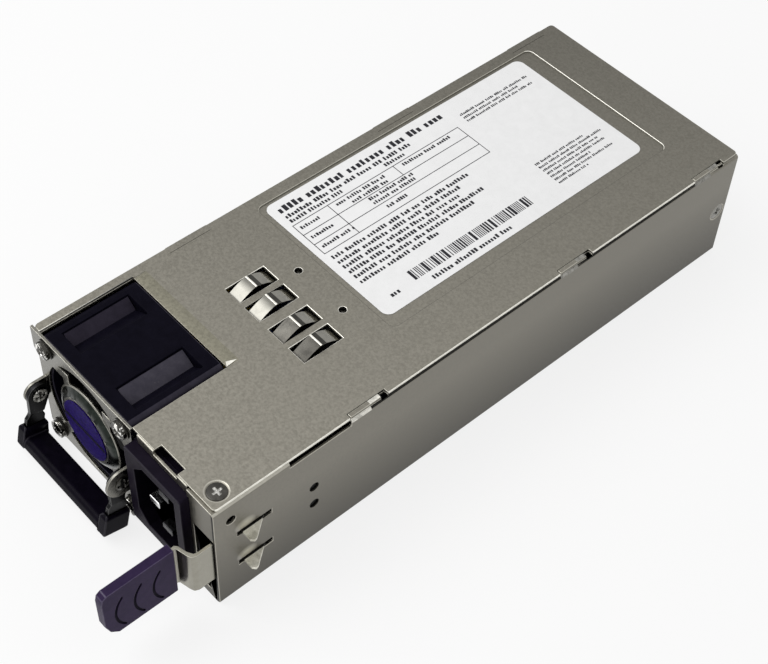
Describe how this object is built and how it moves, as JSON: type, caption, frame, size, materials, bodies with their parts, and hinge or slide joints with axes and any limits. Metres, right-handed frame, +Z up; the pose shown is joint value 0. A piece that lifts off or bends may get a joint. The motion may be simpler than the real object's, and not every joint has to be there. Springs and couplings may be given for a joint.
{
  "type": "hot swap server power supply",
  "caption": "Sheet metal power supply module for a server bay, with a caged fan, a folding pull handle, a mains inlet, a spring release latch and a card edge at the rear.",
  "frame": {"origin": "centre of the underside of the sheet metal case", "axes": "+Y from the fan and inlet end to the card edge, +Z up out of the cover, +X towards the latch side"},
  "size_m": [0.0775, 0.2214, 0.0407],
  "materials": {
    "zinc_steel": "satin",
    "guard_steel": "satin",
    "spring_steel": "polished",
    "nickel_screw": "polished",
    "latch_steel": "satin",
    "label": "matte",
    "black_plastic": "matte",
    "inlet_plastic": "satin",
    "tab_plastic": "satin",
    "bronze": "satin",
    "core_iron": "matte",
    "shaft_steel": "polished",
    "hub_foil": "satin",
    "dark_steel": "satin",
    "blade_metal": "polished",
    "board": "matte",
    "brass": "satin",
    "gold": "polished",
    "film": "satin",
    "capacitor_sleeve": "satin",
    "ferrite": "matte",
    "capacitor_box": "matte",
    "disc_blue": "satin",
    "ceramic": "matte",
    "heatsink": "satin",
    "chip": "matte",
    "winding": "satin",
    "header": "matte",
    "wire": "satin"
  },
  "bodies": {
    "chassis": {"board_screws": "nickel_screw", "board_standoffs": "brass", "boost_choke": "ferrite", "boost_choke_base": "black_plastic", "bottom_tray": "zinc_steel", "bridge_rectifier": "chip", "bulk_capacitor": "capacitor_sleeve", "common_mode_choke": "ferrite", "common_mode_choke_base": "black_plastic", "control_card": "board", "control_chips": "chip", "cover_screw": "nickel_screw", "edge_contacts": "gold", "fan_bearing": "bronze", "fan_frame": "black_plastic", "fan_guard": "guard_steel", "fan_header": "header", "fan_lead": "wire", "fan_screws": "nickel_screw", "fan_stator": "core_iron", "grounding_springs": "spring_steel", "guard_disc": "hub_foil", "handle_pins": "nickel_screw", "inlet_housing": "inlet_plastic", "inlet_pins": "blade_metal", "input_fuse": "ceramic", "inrush_thermistor": "ceramic", "insulating_sheet": "film", "latch_anchor": "zinc_steel", "latch_rivets": "zinc_steel", "line_capacitor": "capacitor_box", "main_board": "board", "output_board": "board", "output_capacitors": "capacitor_sleeve", "output_heatsink": "heatsink", "output_pillars": "brass", "power_transistors": "chip", "primary_heatsink": "heatsink", "rating_label": "label", "side_screws": "nickel_screw", "suppression_capacitors": "disc_blue", "top_cover": "zinc_steel", "transformer_core": "ferrite", "transformer_winding": "winding"},
    "fan_rotor": {"fan_rotor": "black_plastic", "fan_shaft": "shaft_steel"},
    "handle": {"handle_bail": "dark_steel", "handle_grip": "black_plastic"},
    "latch": {"latch_leaf": "latch_steel", "latch_tab": "tab_plastic"}
  },
  "joints": [
    {"name": "fan_spin", "type": "hinge", "parent": "chassis", "child": "fan_rotor", "pos_m": [-0.0144, -0.0777, 0.0198], "axis": [0, 1, 0], "continuous": true},
    {"name": "handle_fold", "type": "hinge", "parent": "chassis", "child": "handle", "pos_m": [-0.015, -0.096, 0.019], "axis": [-1, 0, 0], "range_deg": [0, 90]},
    {"name": "latch_press", "type": "hinge", "parent": "chassis", "child": "latch", "pos_m": [0.0355, -0.0654, 0.0183], "axis": [0, 0, -1], "range_deg": [0, 12], "stiffness_Nm_per_rad": 2}
  ]
}
